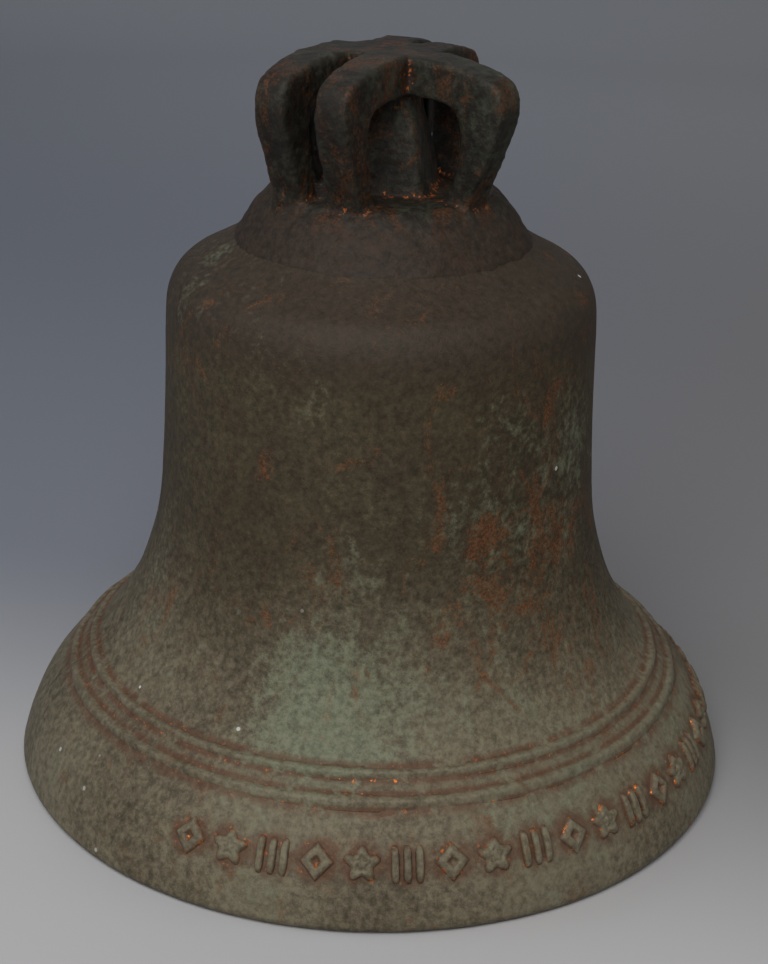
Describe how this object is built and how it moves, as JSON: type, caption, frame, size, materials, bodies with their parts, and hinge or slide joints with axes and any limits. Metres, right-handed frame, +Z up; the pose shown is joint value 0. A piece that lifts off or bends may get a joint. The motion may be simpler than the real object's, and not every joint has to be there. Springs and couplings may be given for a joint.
{
  "type": "ship bell",
  "caption": "Cast bronze bell with a crown of canon loops, moulding wires and a band of ornaments, and an iron clapper that swings inside.",
  "frame": {"origin": "centre of the mouth, on the plane that the lip rests on", "axes": "+Z up along the bell's axis; the canons lie along X and Y; the clapper's bolt lies along X"},
  "size_m": [0.432, 0.432, 0.432],
  "materials": {
    "cast_bronze": "matt brown and green patina over cast bronze",
    "wrought_iron": "dull rust-brown forged iron",
    "bush_brass": "worn bearing brass",
    "leather": "greased leather"
  },
  "bodies": {
    "bell": {"bell_shell": "cast_bronze", "upper_moulding": "cast_bronze", "lower_moulding": "cast_bronze", "bow_ornaments": "cast_bronze", "crown_plate": "cast_bronze", "argent": "cast_bronze", "canon_left": "cast_bronze", "canon_front_left": "cast_bronze", "canon_front": "cast_bronze", "canon_right": "cast_bronze", "canon_rear_right": "cast_bronze", "canon_rear": "cast_bronze", "crown_staple": "wrought_iron", "staple_bush": "bush_brass"},
    "clapper": {"clapper_jaw": "wrought_iron", "clapper_bolt": "wrought_iron", "thrust_washers": "leather", "castle_nut": "wrought_iron", "split_pin": "wrought_iron", "clapper_shank": "wrought_iron", "clapper_ball": "wrought_iron", "clapper_flight": "wrought_iron"}
  },
  "joints": [
    {"name": "clapper_swing", "type": "hinge", "parent": "bell", "child": "clapper", "pos_m": [0, 0, 0.276], "axis": [1, 0, 0], "range_deg": [-30, 30]}
  ]
}
